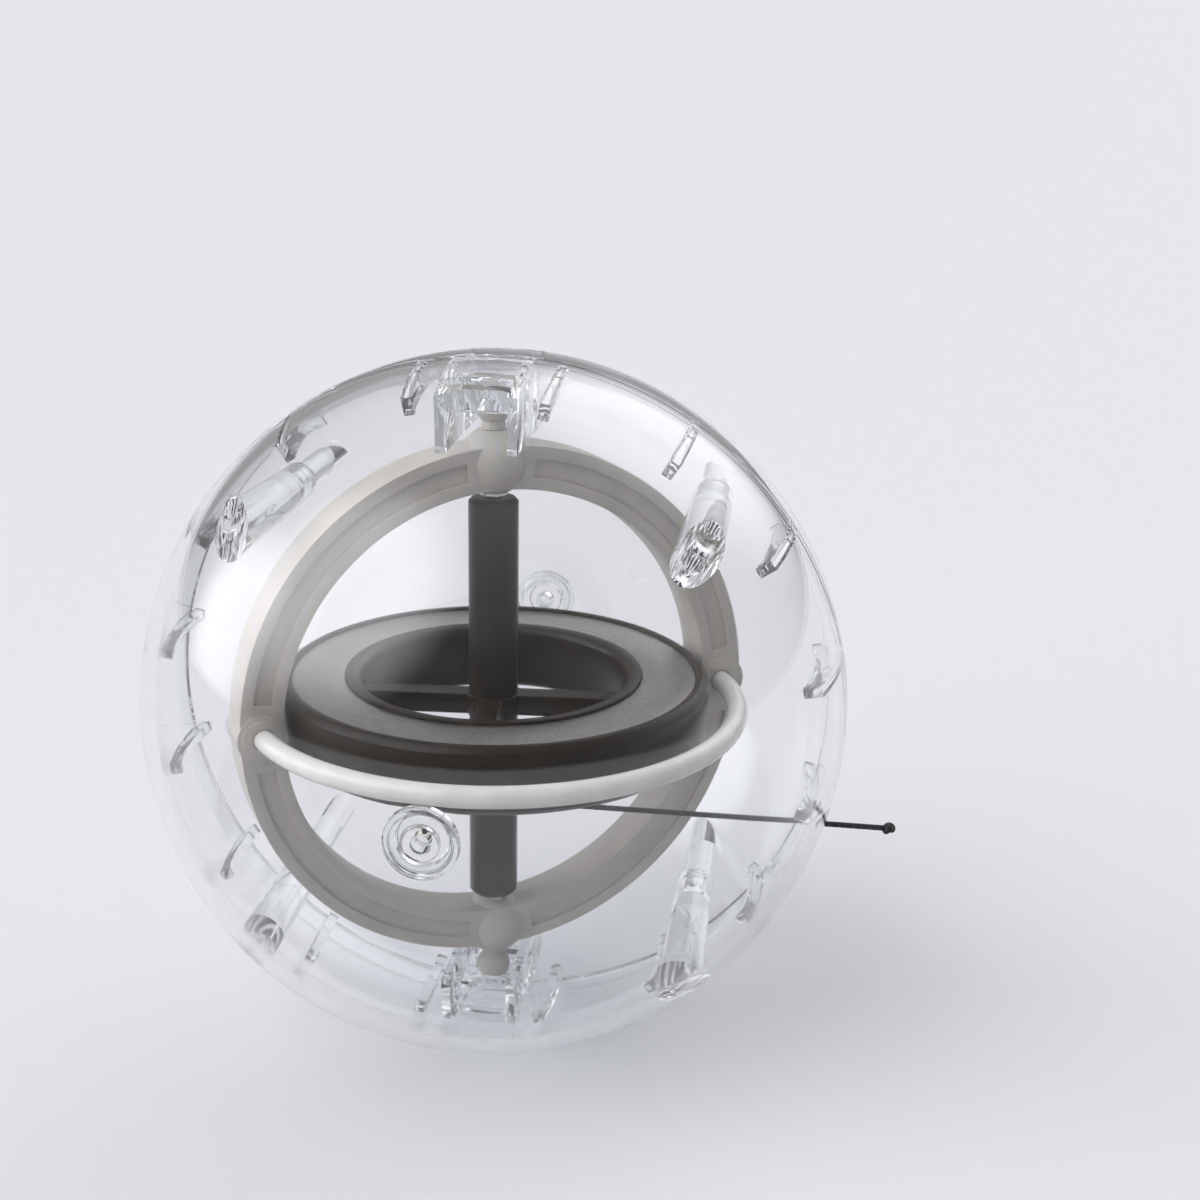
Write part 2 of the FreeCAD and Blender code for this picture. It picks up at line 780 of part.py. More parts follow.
# ---------------------------------------------------------------- rotor
def rotor_wheel():
    """Rim, web between the two weights, rounded bowl lip, four spokes and hub."""
    body = new_body("RotorWheel")
    section = new_sketch(body, "rim_section", "XZ_Plane")
    height = S["rotor_half_height"]
    edge = S["rotor_edge"]
    web = S["web_half_height"]
    bowl = bowl_radius
    rounding = S["bowl_rounding"]
    share = rounding * ROUND_SHARE
    corners = [
        (bowl, rounding - height),
        (bowl + share, share - height),
        (bowl + rounding, -height),
        (weight_inner, -height),
        (weight_inner, -web),
        (weight_outer, -web),
        (weight_outer, -height),
        (rotor_radius - edge, -height),
        (rotor_radius, edge - height),
        (rotor_radius, height - edge),
        (rotor_radius - edge, height),
        (weight_outer, height),
        (weight_outer, web),
        (weight_inner, web),
        (weight_inner, height),
        (bowl + rounding, height),
        (bowl + share, height - share),
        (bowl, height - rounding),
    ]
    outline(section, corners)
    revolve(body, "rim", section)

    spoke = new_sketch(body, "spoke_sketch", "YZ_Plane")
    half = S["spoke_width"] * 0.5
    top = S["spoke_half_height"]
    outline(spoke, [(-half, -top), (half, -top), (half, top), (-half, top)])
    feature = extrude(body, "spoke", spoke, "Pad", bowl + S["bowl_lip_wall"] * 0.5)
    polar(body, "spokes", feature, "Z_Axis", plain(4))

    hub = new_sketch(body, "rotor_hub_sketch", "XY_Plane")
    circle_in(hub, ZERO, ZERO, rotor_hub_radius)
    extrude(body, "rotor_hub", hub, "Pad", top * 2.0, midplane=True)
    bore = new_sketch(body, "rotor_bore_sketch", "XY_Plane")
    circle_in(bore, ZERO, ZERO, S["shaft_radius"] + S["seat_gap"])
    extrude(body, "rotor_bore", bore, "Pocket", height * 4.0, midplane=True)
    place(body, axis=Z_AXIS, angle=S["rotor_turn"])
    keep(body, "rotor_wheel")


def weight_ring(name, label, turn):
    """A metal ring that fills the wheel's groove between the rim and the bowl lip."""
    inner = weight_inner + S["seat_gap"]
    outer = weight_outer - S["seat_gap"]
    bottom = S["web_half_height"]
    top = S["rotor_half_height"] - S["weight_recess"]
    corners = [(inner, bottom), (outer, bottom), (outer, top), (inner, top)]
    body = turned_part(name, label, "XZ_Plane", corners)
    place(body, axis=X_AXIS, angle=plain(turn))


def shaft_tube():
    """The tube over the axle, with the cross hole that the launch cord is fed through."""
    edge = S["shaft_edge"]
    bore = S["axle_radius"] + S["seat_gap"]
    corners = [
        (bore, -shaft_half_length),
        (S["shaft_radius"] - edge, -shaft_half_length),
        (S["shaft_radius"], edge - shaft_half_length),
        (S["shaft_radius"], shaft_half_length - edge),
        (S["shaft_radius"] - edge, shaft_half_length),
        (bore, shaft_half_length),
    ]
    body = turned_part("ShaftTube", "shaft_tube", "XZ_Plane", corners)
    hole = new_sketch(body, "cross_hole_sketch", "YZ_Plane")
    circle_in(hole, ZERO, cord_height, cord_hole_radius)
    extrude(body, "cross_hole", hole, "Pocket", S["shaft_radius"] * 4.0, midplane=True)


def axle():
    """The steel pin whose two points run in the bearing cups."""
    shoulder = bearing_start + S["bearing_mouth_depth"] - S["pivot_play"]
    tip = cup_floor - S["pivot_play"]
    corners = [
        (ZERO, -tip),
        (S["axle_tip_radius"], -tip),
        (S["axle_radius"], -shoulder),
        (S["axle_radius"], shoulder),
        (S["axle_tip_radius"], tip),
        (ZERO, tip),
    ]
    turned_part("Axle", "axle", "XZ_Plane", corners)


# ---------------------------------------------------------------- launch cord
def launch_cord():
    cord = solid("Cylinder", "CordTube", Radius=S["cord_radius"], Height=cord_end - cord_start)
    place(cord, x=cord_start, z=cord_height, axis=Y_AXIS, angle=plain(RIGHT_ANGLE))
    keep(cord, "launch_cord")


def cord_knot():
    """The knot at the free end, cut flat where the cord runs into it."""
    radius = S["knot_radius"]
    ball = solid("Sphere", "knot_ball", Radius=radius)
    place(ball, x=cord_end + radius * 0.8, z=cord_height)
    side = radius * 4.0
    x = cord_end - side
    trim = slab("knot_trim", side, side, side, x, -radius * 2.0, cord_height - radius * 2.0)
    keep(combine("Cut", "Knot", ball, trim), "cord_knot")


# ---------------------------------------------------------------- build
front_shell()
rear_shell()
pole_plug("FrontPlug", "front_pole_plug", HALF_TURN)
pole_plug("RearPlug", "rear_pole_plug", 0.0)
for side, quarter in POST_QUARTERS.items():
    front_post(side, quarter)
    rear_post(side, quarter)
cradle("front_lower", "front_lower_cradle", rear=False, upper=False)
cradle("front_upper", "front_upper_cradle", rear=False, upper=True)
cradle("rear_lower", "rear_lower_cradle", rear=True, upper=False)
cradle("rear_upper", "rear_upper_cradle", rear=True, upper=True)
frame_ring()
foot("UpperFoot", "upper_foot", 0.0)
foot("LowerFoot", "lower_foot", HALF_TURN)
bearing("UpperBearing", "upper_bearing", 0.0)
bearing("LowerBearing", "lower_bearing", HALF_TURN)
guard_rod("GuardRear", "rear_guard_rod", 0.0)
guard_rod("GuardFront", "front_guard_rod", HALF_TURN)
rotor_wheel()
weight_ring("UpperWeight", "upper_weight_ring", 0.0)
weight_ring("LowerWeight", "lower_weight_ring", HALF_TURN)
shaft_tube()
axle()
launch_cord()
cord_knot()
doc.recompute()

# ---------------------------------------------------------------- check and export
for obj in doc.Objects:
    if "Invalid" in obj.State or "Error" in obj.State:
        raise RuntimeError("{} failed: {}".format(obj.Label, obj.State))
for obj in sub_parts:
    if obj.Shape.isNull() or not obj.Shape.isValid():
        raise RuntimeError("{} has no valid shape".format(obj.Label))

os.makedirs("parts", exist_ok=True)
for obj in sub_parts:
    obj.Shape.exportStep("parts/{}.step".format(obj.Label))
    print("{:20s} {:9.2f} mm3".format(obj.Label, obj.Shape.Volume))
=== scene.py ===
# %% [markdown]
# # A gyroscope in a clear ball
# The object is a science toy: a heavy rotor spins in an upright ring, and the ring stands on two small feet inside
# a clear plastic ball that opens in two halves. Every cell below makes one piece or one finish. First the packed
# frame is loaded. It gives the bodies that move and the solids that each piece stands for.

# %% Load the frame
import math

import bpy
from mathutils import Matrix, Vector


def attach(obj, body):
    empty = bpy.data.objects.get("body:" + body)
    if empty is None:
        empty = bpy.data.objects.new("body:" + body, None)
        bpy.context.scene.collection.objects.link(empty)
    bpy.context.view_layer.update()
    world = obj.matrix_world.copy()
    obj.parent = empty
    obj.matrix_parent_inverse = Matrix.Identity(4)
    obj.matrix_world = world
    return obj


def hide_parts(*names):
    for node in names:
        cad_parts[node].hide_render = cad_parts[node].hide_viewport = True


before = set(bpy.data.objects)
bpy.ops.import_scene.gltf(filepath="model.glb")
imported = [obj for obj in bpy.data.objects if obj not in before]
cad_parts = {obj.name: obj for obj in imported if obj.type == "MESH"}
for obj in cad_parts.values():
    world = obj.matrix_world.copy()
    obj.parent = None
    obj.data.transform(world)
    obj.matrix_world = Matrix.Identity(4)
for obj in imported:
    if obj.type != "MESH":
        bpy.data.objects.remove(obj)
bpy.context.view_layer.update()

mm = 0.001
FULL_TURN = 360


def nothing_selected():
    """An operator acts on all that is selected, so every step starts from nothing."""
    bpy.ops.object.select_all(action="DESELECT")


def only(piece):
    """Selects one piece and makes it the active one."""
    nothing_selected()
    piece.select_set(True)
    bpy.context.view_layer.objects.active = piece


# %% [markdown]
# ## Camera
# The camera stands a little to the right of the front and looks down by about twenty degrees, so that the upper face
# of the rotor shows. Its lens is shifted instead of turned, so that the ball keeps its round outline although it
# stands off the middle of the frame.

# %% Camera
CAMERA_TURN = math.radians(10.25)
CAMERA_RISE = math.radians(20.7)
CAMERA_REACH = 300 * mm
back = Vector((
    math.sin(CAMERA_TURN) * math.cos(CAMERA_RISE),
    -math.cos(CAMERA_TURN) * math.cos(CAMERA_RISE),
    math.sin(CAMERA_RISE),
))
nothing_selected()
bpy.ops.object.camera_add(
    location=back * CAMERA_REACH,
    rotation=(math.radians(90) - CAMERA_RISE, 0, CAMERA_TURN),
)
camera = bpy.context.object
camera.data.lens = 62.8
camera.data.sensor_width = 36
camera.data.clip_start = 10 * mm
camera.data.shift_x = 0.0887
camera.data.shift_y = 0.0838
bpy.context.scene.camera = camera
print("camera at", [round(value, 3) for value in camera.location])

# %% [markdown]
# ## Launch cord
# A thin black braided cord starts the rotor. It is threaded through a cross hole in the shaft, runs straight out
# through a hole in the seam of the ball, and ends in a knot that a finger holds. It is a smooth NURBS line with a
# round section, because a pulled cord has no corners. The order is set after the points, or the line stays angular.

# %% Launch cord
CORD_HEIGHT = -15.5
CORD_START = 3.8
CORD_END = 56
CORD_THICKNESS = 0.8
CORD_HOLE = 0.7


def smooth_cord(name, points, thickness, closed=False):
    """A round cord along a few control points, given in millimetres."""
    data = bpy.data.curves.new(name, "CURVE")
    data.dimensions = "3D"
    line = data.splines.new("NURBS")
    line.points.add(len(points) - 1)
    for control, point in zip(line.points, points):
        control.co = (*(value * mm for value in point), 1)
    line.order_u = 3
    line.use_endpoint_u = not closed
    line.use_cyclic_u = closed
    line.resolution_u = 8
    data.bevel_depth = thickness / 2 * mm
    data.bevel_resolution = 4
    data.use_fill_caps = True
    piece = bpy.data.objects.new(name, data)
    bpy.context.scene.collection.objects.link(piece)
    return piece


cord = smooth_cord(
    "braided_cord",
    [(along, 0, CORD_HEIGHT) for along in (CORD_START, 20, 38, CORD_END)],
    CORD_THICKNESS,
)
print("cord runs", CORD_END - CORD_START, "mm")

# %% [markdown]
# ## Knot
# The free end is tied in an overhand knot. Its line goes over and under itself three times, so eleven control
# points on a closed loop are enough. The curve becomes a mesh, so that it can be finished as any other piece.

# %% Knot
knot_points = [
    (56.15, 0.30, -15.50), (56.75, 0.60, -15.10), (57.40, 0.25, -15.30), (57.35, -0.35, -15.75),
    (56.75, -0.55, -15.30), (56.45, 0.05, -14.95), (56.70, 0.55, -15.60), (57.20, 0.25, -16.05),
    (57.10, -0.40, -15.10), (56.60, -0.55, -15.80), (56.30, -0.20, -16.00),
]
knot = smooth_cord("cord_end_knot", knot_points, CORD_THICKNESS * 0.9, closed=True)
only(knot)
bpy.ops.object.convert(target="MESH")
knot = bpy.context.object
bpy.ops.object.shade_smooth()
print("knot faces", len(knot.data.polygons))

# %% [markdown]
# ## Turned shapes
# Most of the parts are round, and their moulds are cut on a lathe. Here a lathe is an outline that spins round an
# axis: a plane is merged to one point, the point is extruded along the outline, and the line is spun by a full turn.
# An outline that starts and ends on the axis closes by itself there, and any other one is closed before it spins.

# %% Turning
ACROSS = {"X": Vector((0, 1, 0)), "Y": Vector((1, 0, 0)), "Z": Vector((1, 0, 0))}
ALONG = {"X": Vector((1, 0, 0)), "Y": Vector((0, 1, 0)), "Z": Vector((0, 0, 1))}


def arc(radius, start, end, steps, centre=(0, 0)):
    """Points of an arc as (across, along) pairs; the angles are in degrees."""
    angles = [math.radians(start + (end - start) * step / steps) for step in range(steps + 1)]
    return [(centre[0] + radius * math.cos(a), centre[1] + radius * math.sin(a)) for a in angles]


def drawn_line(name, points, closed):
    """Draws a line of edges through points in metres and leaves it open in edit mode."""
    nothing_selected()
    bpy.ops.mesh.primitive_plane_add(size=mm)
    piece = bpy.context.object
    piece.name = name
    bpy.ops.object.mode_set(mode="EDIT")
    bpy.ops.mesh.select_mode(type="VERT")
    bpy.ops.mesh.merge(type="CENTER")
    bpy.ops.transform.translate(value=points[0])
    route = points[1:] + (points[:1] if closed else [])
    for before, after in zip(points, route):
        bpy.ops.mesh.extrude_region_move(TRANSFORM_OT_translate={"value": after - before})
    bpy.ops.mesh.select_all(action="SELECT")
    bpy.ops.mesh.remove_doubles(threshold=0.002 * mm)
    return piece


def turned(name, outline, axis="Z", steps=96):
    """Spins an outline of (across, along) millimetres round an axis."""
    points = [(ACROSS[axis] * across + ALONG[axis] * along) * mm for across, along in outline]
    on_axis = abs(outline[0][0]) < 1e-6 and abs(outline[-1][0]) < 1e-6
    piece = drawn_line(name, points, not on_axis)
    bpy.ops.mesh.spin(steps=steps, angle=math.radians(FULL_TURN), center=(0, 0, 0), axis=ALONG[axis])
    bpy.ops.mesh.select_all(action="SELECT")
    bpy.ops.mesh.remove_doubles(threshold=0.002 * mm)
    bpy.ops.mesh.normals_make_consistent(inside=False)
    bpy.ops.object.mode_set(mode="OBJECT")
    return piece


# %% [markdown]
# ## Finishing steps
# Some steps come back for many pieces: round the edges, join or cut with another shape, copy, turn or move to a
# place, start from a block, put pieces into one mesh, weld points, and shade. A place is always applied, so that it
# ends up in the mesh and the object stays at the origin.

# %% Finishing steps
def softened(piece, width, segments=2, angle=30):
    """Rounds the sharp edges by a width in millimetres, as a mould or a file does."""
    only(piece)
    edge = piece.modifiers.new("soft edge", "BEVEL")
    edge.width = width * mm
    edge.segments = segments
    edge.limit_method = "ANGLE"
    edge.angle_limit = math.radians(angle)
    bpy.ops.object.modifier_apply(modifier=edge.name)
    return piece


def combined(piece, tool, operation="UNION"):
    """Joins, cuts or trims a piece with a tool shape, which is used up."""
    only(piece)
    step = piece.modifiers.new("combine", "BOOLEAN")
    step.operation = operation
    step.solver = "MANIFOLD"
    step.object = tool
    bpy.ops.object.modifier_apply(modifier=step.name)
    bpy.data.objects.remove(tool)
    return piece


def moved(piece, x=0, y=0, z=0, turn=(0, 0, 0)):
    """Turns a piece by degrees about X, Y and Z, shifts it by millimetres and applies both."""
    only(piece)
    piece.rotation_euler = [math.radians(angle) for angle in turn]
    piece.location = (x * mm, y * mm, z * mm)
    bpy.ops.object.transform_apply(location=True, rotation=True, scale=True)
    return piece


def copied(piece, name, x=0, y=0, z=0, turn=(0, 0, 0)):
    """A copy with its own mesh, turned and shifted to its place."""
    only(piece)
    bpy.ops.object.duplicate()
    copy = bpy.context.object
    copy.name = name
    return moved(copy, x, y, z, turn)


def box(name, low, high):
    """A block between two corners in millimetres, as a start for a rib or a wall."""
    centre = [(a + b) / 2 * mm for a, b in zip(low, high)]
    size = [(b - a) * mm for a, b in zip(low, high)]
    nothing_selected()
    bpy.ops.mesh.primitive_cube_add(size=1, location=centre, scale=size)
    block = bpy.context.object
    block.name = name
    bpy.ops.object.transform_apply(location=True, rotation=True, scale=True)
    return block


def joined(pieces):
    """Puts separate pieces into one mesh."""
    only(pieces[0])
    for piece in pieces:
        piece.select_set(True)
    bpy.ops.object.join()
    return bpy.context.object


def welded(piece):
    """Points that lie on each other become one, so that no face is left without an area."""
    only(piece)
    bpy.ops.object.mode_set(mode="EDIT")
    bpy.ops.mesh.select_all(action="SELECT")
    bpy.ops.mesh.remove_doubles(threshold=0.001 * mm)
    bpy.ops.object.mode_set(mode="OBJECT")
    return piece


def smoothed(piece, angle=32):
    """Smooth shading, with edges above the angle left crisp."""
    only(piece)
    bpy.ops.object.shade_smooth_by_angle(angle=math.radians(angle))
    print(piece.name, "has", len(piece.data.polygons), "faces")
    return piece


# %% [markdown]
# ## Walls of the clear ball
# Each half is one thin injection moulding. Its wall is two arcs, one inside the other, that meet at the seam and at
# a stepped hole at the pole. The front half has a thin lip at the seam, and the rear half has a rebate for it. The
# edge at the seam is broken by a hair, which gives the fine line that shows where the two halves meet. Clear faces
# never lie exactly on each other here: a hair of air between them lets the light bend as it does in real plastic.

# %% Walls of the clear ball
BALL = 50
INSIDE = 48
LIP = 49
REBATE = 49.1
LIP_REACH = 4.0
REBATE_REACH = 4.1
SEAM_BREAK = 0.12
HAIR = 0.03
PLUG_SEAT = 48.9
PLUG_RADIUS = 4.8
PLUG_STEP = 3.4
LOOSE = 0.02


def wall_arc(radius, start, end, steps, side):
    """An arc on a sphere about the centre, from one height to another along the axis."""
    low = math.degrees(math.asin(start / radius))
    high = math.degrees(math.asin(end / radius))
    return [(across, side * along) for across, along in arc(radius, low, high, steps)]


def pole_height(radius, hole):
    return math.sqrt(radius**2 - hole**2)


def half_wall(name, side, seam_line):
    """The wall of one half ball; side is -1 for the front and 1 for the rear."""
    outline = [(BALL - SEAM_BREAK, side * HAIR)]
    outline += wall_arc(BALL, SEAM_BREAK, pole_height(BALL, PLUG_RADIUS + LOOSE), 54, side)
    outline += [(PLUG_RADIUS + LOOSE, side * PLUG_SEAT), (PLUG_STEP + LOOSE, side * PLUG_SEAT)]
    outline += seam_line
    return turned(name, outline, "Y", 180)


front_seam = wall_arc(INSIDE, pole_height(INSIDE, PLUG_STEP + LOOSE), -LIP_REACH, 58, -1)
front_seam += wall_arc(LIP, -LIP_REACH, HAIR, 5, -1)
front_half = half_wall("front_half_ball", -1, front_seam)
rear_seam = wall_arc(INSIDE, pole_height(INSIDE, PLUG_STEP + LOOSE), REBATE_REACH, 54, 1)
rear_seam += wall_arc(REBATE, REBATE_REACH, HAIR, 5, 1)
rear_half = half_wall("rear_half_ball", 1, rear_seam)
print("wall faces", len(front_half.data.polygons), len(rear_half.data.polygons))

# %% [markdown]
# ## Guide ribs
# Sixteen short ribs stand inside the front half. They stiffen the wall, and their ends reach past the seam to guide
# the rear half on. One rib is drawn as a flat outline, filled, extruded to its thickness and rounded at its edges,
# and then copied round the ball.

# %% Guide ribs
RIB_THICKNESS = 1.5
BURIED = 48.6


def flat_plate(name, outline, thickness):
    """A flat outline of (x, y) millimetres, filled and extruded evenly to both sides along Z."""
    points = [Vector((x, y, -thickness / 2)) * mm for x, y in outline]
    piece = drawn_line(name, points, True)
    bpy.ops.mesh.edge_face_add()
    bpy.ops.mesh.extrude_region_move(TRANSFORM_OT_translate={"value": (0, 0, thickness * mm)})
    bpy.ops.mesh.select_all(action="SELECT")
    bpy.ops.mesh.normals_make_consistent(inside=False)
    bpy.ops.object.mode_set(mode="OBJECT")
    return piece


rib_outline = wall_arc(46, -13, 5.2, 8, 1)
rib_outline += wall_arc(47.7, 5.2, 3.4, 2, 1)
rib_outline += wall_arc(BURIED, 3.4, -13, 8, 1)
rib = softened(flat_plate("guide_rib", rib_outline, RIB_THICKNESS), 0.18)
ribs = [copied(rib, "guide_rib", turn=(0, 11.25 + 22.5 * step, 0)) for step in range(1, 16)]
ribs.append(moved(rib, turn=(0, 11.25, 0)))
print("ribs", len(ribs))

# %% [markdown]
# ## Posts
# Four posts on the diagonals hold the halves in line. The front ones taper, as a moulded boss has to, and end in a
# socket. The rear ones end in a pin that slides into it. Both are turned about their own line and moved into place.

# %% Posts
POST_SPOT = 42 / math.sqrt(2)
QUARTERS = ((1, 1), (-1, 1), (-1, -1), (1, -1))
front_post = turned(
    "front_post",
    [(0, -40), (3.13, -40), (2.81, 5.7), (2.5, 6), (1.55, 6), (1.31, 5.8), (1.31, 0.9), (1.1, 0.7), (0, 0.7)],
    "Y",
    48,
)
rear_post = turned(
    "rear_post",
    [(0, 1), (1.0, 1), (1.25, 1.35), (1.25, 6 + HAIR), (1.9, 6 + HAIR), (2.1, 6.2), (2.1, 40), (0, 40)],
    "Y",
    48,
)
front_posts = [copied(front_post, "front_post", POST_SPOT * x, 0, POST_SPOT * z) for x, z in QUARTERS[1:]]
front_posts.append(moved(front_post, POST_SPOT, 0, POST_SPOT))
rear_posts = [copied(rear_post, "rear_post", POST_SPOT * x, 0, POST_SPOT * z) for x, z in QUARTERS[1:]]
rear_posts.append(moved(rear_post, POST_SPOT, 0, POST_SPOT))
print("posts", len(front_posts) + len(rear_posts))

# %% [markdown]
# ## Cradles
# Top and bottom, each half carries half of a cup for one foot of the gyroscope. It is a low block with a round pocket
# between two tall side walls, with two low cross ribs in front. It is built once at the bottom of the front half from
# plain blocks joined together. The pocket is cut by a ball, and the edges are rounded before it is copied.

# %% Cradles
HALF_WIDTH = 5.4
CRADLE_TOP = -38.8
FOOT_HEIGHT = 42.6
FOOT_RADIUS = 2.5
FOOT_PLAY = 0.06


def foot_pocket():
    """The space for the ball foot."""
    radius = FOOT_RADIUS + FOOT_PLAY
    outline = [(0, -FOOT_HEIGHT - radius)] + arc(radius, -84, 0, 14, (0, -FOOT_HEIGHT))
    outline += [(radius, -40), (0, -40)]
    return turned("foot_pocket", outline, "Z", 48)


cradle = box("cradle", (-HALF_WIDTH, -4.6, -46.4), (HALF_WIDTH, -HAIR, -43.8))
for name, low, high in (
    ("left wall", (-HALF_WIDTH, -13, -50), (-4.1, -HAIR, CRADLE_TOP)),
    ("right wall", (4.1, -13, -50), (HALF_WIDTH, -HAIR, CRADLE_TOP)),
    ("back wall", (-4.4, -1.6, -50), (4.4, -0.3, -45.1)),
    ("near rib", (-4.4, -8.2, -50), (4.4, -6.9, -43.8)),
    ("far rib", (-4.4, -11.8, -50), (4.4, -10.5, -43.8)),
):
    combined(cradle, box(name, low, high))
combined(cradle, foot_pocket(), "DIFFERENCE")
softened(cradle, 0.22)
print("cradle faces", len(cradle.data.polygons))

# %% [markdown]
# ## One moulding for each half
# In the real ball the wall, ribs, posts and cradles of a half are one piece of plastic. In a clear material that
# matters: where two clear shapes only overlap, the surfaces inside still bend the light. So everything is trimmed
# to just inside the wall and then joined to it, and only outer surfaces are left.

# %% Join the halves
def trim_ball():
    """A sphere inside the thickness of the wall."""
    return turned("trim", [(0, -BURIED + 0.1)] + arc(BURIED - 0.1, -88, 88, 44) + [(0, BURIED - 0.1)], "Z", 90)


def moulded(half, details):
    """Joins details to a half ball, each one trimmed inside its wall first."""
    for detail in details:
        combined(detail, trim_ball(), "INTERSECT")
        combined(half, detail)
    return half


front_cradles = [cradle, copied(cradle, "cradle", turn=(0, 180, 0))]
rear_cradles = [copied(cradle, "cradle", turn=(0, 0, 180)), copied(cradle, "cradle", turn=(180, 0, 0))]
lip_space = turned("lip_space", [(47.7, -1), (51, -1), (51, REBATE_REACH), (47.7, REBATE_REACH)], "Y", 96)
for half_cradle in rear_cradles:
    space = copied(lip_space, "lip_space")
    combined(half_cradle, space, "DIFFERENCE")
bpy.data.objects.remove(lip_space)
front_half = moulded(front_half, front_cradles + front_posts + [joined(ribs)])
rear_half = moulded(rear_half, rear_cradles + rear_posts)

# %% [markdown]
# ## Hole for the cord
# Where the cord leaves the ball, each half has half of a round hole at the seam. The front half's lip has a slot
# there instead, so that the half can slide off straight forwards over the cord.

# %% Hole for the cord
for half in (front_half, rear_half):
    drill = turned("drill", [(0, 40), (CORD_HOLE, 40), (CORD_HOLE, 54), (0, 54)], "X", 32)
    combined(half, moved(drill, z=CORD_HEIGHT), "DIFFERENCE")
cord_slot = box("slot", (40, 0, CORD_HEIGHT - CORD_HOLE), (54, REBATE_REACH, CORD_HEIGHT + CORD_HOLE))
combined(front_half, cord_slot, "DIFFERENCE")
smoothed(front_half)
smoothed(rear_half)

# %% [markdown]
# ## Plugs at the poles
# A stepped plug closes the hole at each pole. Outside it has a rim, a shallow groove and a round socket. It is turned
# like the wall, and its rims are rounded so that they catch the light as clear rings.

# %% Plugs at the poles
plug_outline = [
    (0, 46), (PLUG_STEP, 46), (PLUG_STEP, PLUG_SEAT + HAIR), (PLUG_RADIUS, PLUG_SEAT + HAIR),
    (PLUG_RADIUS, 50.4), (4.0, 50.4), (4.0, 49.8), (2.4, 49.8), (2.4, 50.4), (1.2, 50.4), (1.2, 47.4), (0, 47.4),
]
rear_plug = softened(turned("rear_plug", plug_outline, "Y", 72), 0.2, 3)
front_plug = copied(rear_plug, "front_plug", turn=(0, 0, 180))
smoothed(rear_plug)
smoothed(front_plug)

# %% [markdown]
# ## Frame ring
# The upright ring is an opaque moulding with flat faces and softly rounded edges. It is turned about Y. The shallow
# channels in its faces are made by selecting the faces between two circles, in four arcs, and insetting them
# downwards. Hub balls at the top and bottom and round collars at the sides are joined to it afterwards.

# %% Frame ring
FRAME_TURN = 30.5
RING_MIDDLE = 34.7
RING_RADII = (31.7, 33.4, 36.0, 37.7)
CHANNEL_END = 8
ring_outline = [(radius, -3.25) for radius in RING_RADII] + [(radius, 3.25) for radius in reversed(RING_RADII)]
ring = turned("frame_ring_moulding", ring_outline, "Y", 180)


def select_faces(piece, wanted):
    """Selects the faces whose middle and normal pass a test, and opens edit mode."""
    only(piece)
    bpy.ops.object.mode_set(mode="EDIT")
    bpy.ops.mesh.select_all(action="DESELECT")
    bpy.ops.object.mode_set(mode="OBJECT")
    count = 0
    for face in piece.data.polygons:
        face.select = wanted(face.center / mm, face.normal)
        count += face.select
    bpy.ops.object.mode_set(mode="EDIT")
    bpy.ops.mesh.select_mode(type="FACE")
    return count


def in_channel(middle, normal):
    """Faces on the flat sides, between the two middle circles and clear of hubs and collars."""
    angle = math.degrees(math.atan2(middle.z, middle.x)) % 90
    on_band = RING_RADII[1] < math.hypot(middle.x, middle.z) < RING_RADII[2]
    return abs(normal.y) > 0.9 and on_band and CHANNEL_END < angle < 90 - CHANNEL_END


print("channel faces", select_faces(ring, in_channel))
bpy.ops.mesh.inset(thickness=0, depth=-0.5 * mm)
bpy.ops.mesh.inset(thickness=0.08 * mm, depth=0)
bpy.ops.mesh.select_all(action="SELECT")
bpy.ops.mesh.remove_doubles(threshold=0.002 * mm)
bpy.ops.object.mode_set(mode="OBJECT")

# %% [markdown]
# ## Hubs and collars
# A hub ball holds the bearing and the foot. It is turned as a ball with a small flat and bored from both sides. The
# collars rise in two steps and hold the ends of the guard rods. Joining them to the ring first and rounding all edges
# together afterwards gives the small fillets that a mould has between its shapes.

# %% Hubs and collars
hub_outline = [(0, 30.4)] + arc(4.8, -86, 63.6, 32, (0, 35.2)) + [(0, 39.5)]
hub = turned("hub", hub_outline, "Z", 80)
collar_outline = [(0, -3.85), (2.9, -3.85), (2.9, -3.55), (3.5, -3.55)]
collar_outline += [(3.5, 3.55), (2.9, 3.55), (2.9, 3.85), (0, 3.85)]
collar = turned("collar", collar_outline, "Y", 72)
for shape in (
    copied(hub, "lower hub", turn=(180, 0, 0)),
    hub,
    copied(collar, "left collar", -RING_MIDDLE),
    moved(collar, RING_MIDDLE),
):
    combined(ring, shape)
bearing_bore = turned("bore", [(0, 25), (2.02, 25), (2.02, 34.4), (0, 34.4)], "Z", 48)
foot_bore = turned("bore", [(0, 36.3), (1.22, 36.3), (1.22, 42), (0, 42)], "Z", 48)
rod_bore = turned("bore", arc(1.62, 0, 345, 23, (RING_MIDDLE, 0)), "Z", 144)
lower_bores = [copied(bore, "lower bore", turn=(180, 0, 0)) for bore in (bearing_bore, foot_bore)]
for bore in (*lower_bores, bearing_bore, foot_bore, rod_bore):
    combined(ring, bore, "DIFFERENCE")
softened(ring, 0.3, 3, 40)
moved(ring, turn=(0, 0, FRAME_TURN))
smoothed(ring, 40)

# %% [markdown]
# ## Feet
# Each foot is turned: a shank that is pressed into the hub, a tapered neck, and a ball that stands in the cradles.

